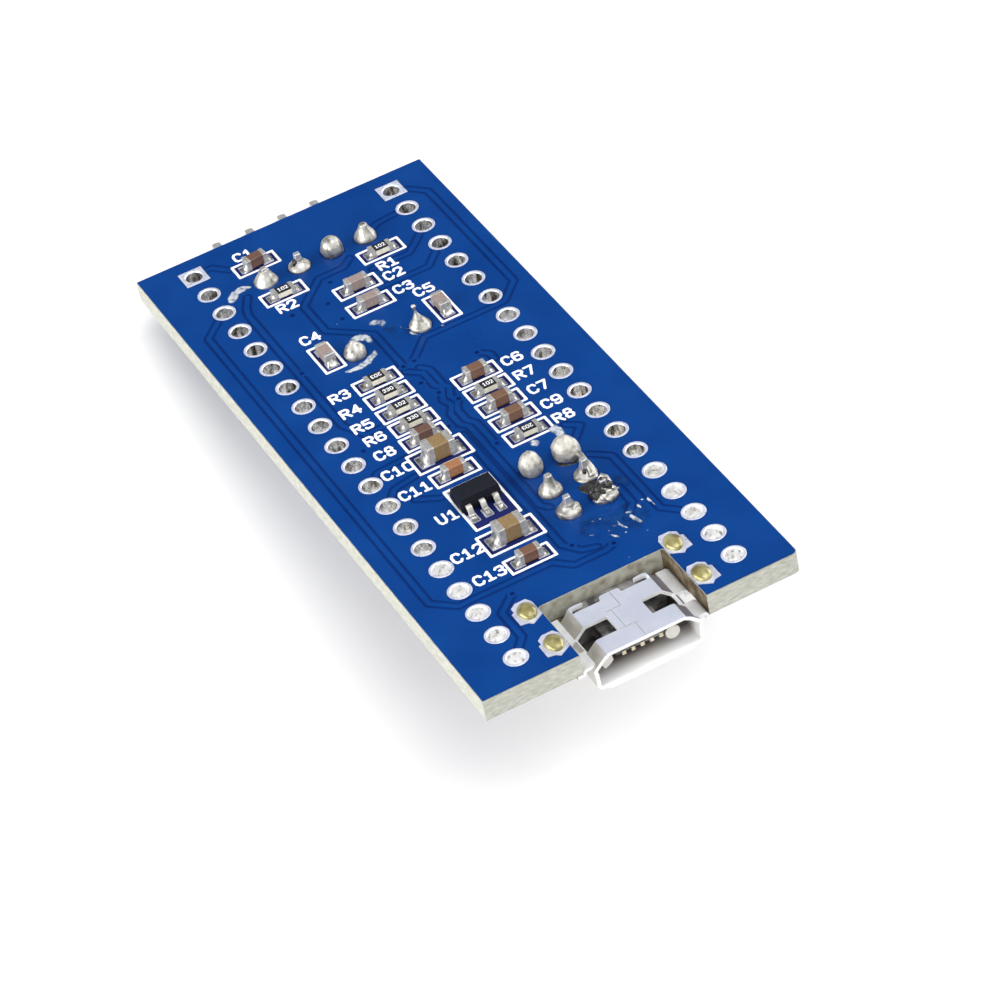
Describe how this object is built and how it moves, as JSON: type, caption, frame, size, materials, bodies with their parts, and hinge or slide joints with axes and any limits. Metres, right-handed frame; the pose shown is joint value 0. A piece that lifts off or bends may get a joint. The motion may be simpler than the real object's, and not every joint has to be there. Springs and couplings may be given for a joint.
{
  "type": "microcontroller development board",
  "caption": "Small blue microcontroller board, solder side up, with rows of header holes, chip parts, a Micro-USB receptacle, boot jumpers, a reset button and a debug header.",
  "frame": {"origin": "centre of the 2 x 20 header hole pattern, on the solder-side face", "axes": "+Z out of the solder side, +Y along the board away from the USB end, +X to the right when the solder side is seen with the USB end near"},
  "size_m": [0.022, 0.0573, 0.0116],
  "materials": {
    "solder_mask_board": "semi-gloss blue solder mask over copper, glass-fibre edges",
    "black_epoxy": "fine matte moulded epoxy",
    "plated_steel": "bright nickel-plated sheet",
    "tinned_wire": "tinned, solder-wetted",
    "red_lens": "clear tinted resin",
    "green_lens": "clear tinted resin",
    "black_plastic": "moulded, satin",
    "yellow_plastic": "moulded, satin",
    "gold_plate": "thin gold flash",
    "resistor_film": "black glaze on white ceramic, tinned ends",
    "brown_ceramic": "satin fired ceramic, tinned ends"
  },
  "bodies": {
    "board": {"pcb": "solder_mask_board", "controller_chip": "black_epoxy", "voltage_regulator": "black_epoxy", "crystal_can": "plated_steel", "crystal_lead_left": "tinned_wire", "crystal_lead_right": "tinned_wire", "clock_crystal": "black_epoxy", "power_led": "red_lens", "user_led": "green_lens", "usb_shell": "plated_steel", "usb_tongue": "black_plastic", "usb_contact_1": "gold_plate", "usb_contact_2": "gold_plate", "usb_contact_3": "gold_plate", "usb_contact_4": "gold_plate", "usb_contact_5": "gold_plate", "boot_header_block": "black_plastic", "boot_pin_1": "tinned_wire", "boot_pin_2": "tinned_wire", "boot_pin_3": "tinned_wire", "boot_pin_4": "tinned_wire", "boot_pin_5": "tinned_wire", "boot_pin_6": "tinned_wire", "debug_header_block": "black_plastic", "debug_pin_1": "tinned_wire", "debug_pin_2": "tinned_wire", "debug_pin_3": "tinned_wire", "debug_pin_4": "tinned_wire", "reset_switch_base": "black_plastic", "reset_switch_cover": "plated_steel", "reset_terminal_1": "tinned_wire", "reset_terminal_2": "tinned_wire", "reset_terminal_3": "tinned_wire", "reset_terminal_4": "tinned_wire", "resistor_1": "resistor_film", "resistor_2": "resistor_film", "resistor_3": "resistor_film", "resistor_4": "resistor_film", "resistor_5": "resistor_film", "resistor_6": "resistor_film", "resistor_7": "resistor_film", "resistor_8": "resistor_film", "capacitor_1": "brown_ceramic", "capacitor_2": "brown_ceramic", "capacitor_3": "brown_ceramic", "capacitor_4": "brown_ceramic", "capacitor_5": "brown_ceramic", "capacitor_6": "brown_ceramic", "capacitor_7": "brown_ceramic", "capacitor_8": "brown_ceramic", "capacitor_9": "brown_ceramic", "capacitor_10": "brown_ceramic", "capacitor_11": "brown_ceramic", "capacitor_12": "brown_ceramic", "capacitor_13": "brown_ceramic"},
    "jumper_1": {"jumper_cap_1": "yellow_plastic", "jumper_clip_1": "gold_plate"},
    "jumper_2": {"jumper_cap_2": "yellow_plastic", "jumper_clip_2": "gold_plate"},
    "reset_plunger": {"reset_button": "black_plastic"}
  },
  "joints": [
    {"name": "jumper_1_pull", "type": "slide", "parent": "board", "child": "jumper_1", "axis": [0, 0, -1], "range_m": [0, 0.0065]},
    {"name": "jumper_2_pull", "type": "slide", "parent": "board", "child": "jumper_2", "axis": [0, 0, -1], "range_m": [0, 0.0065]},
    {"name": "reset_press", "type": "slide", "parent": "board", "child": "reset_plunger", "axis": [0, 0, 1], "range_m": [0, 0.00025], "stiffness_N_per_m": 2000}
  ]
}
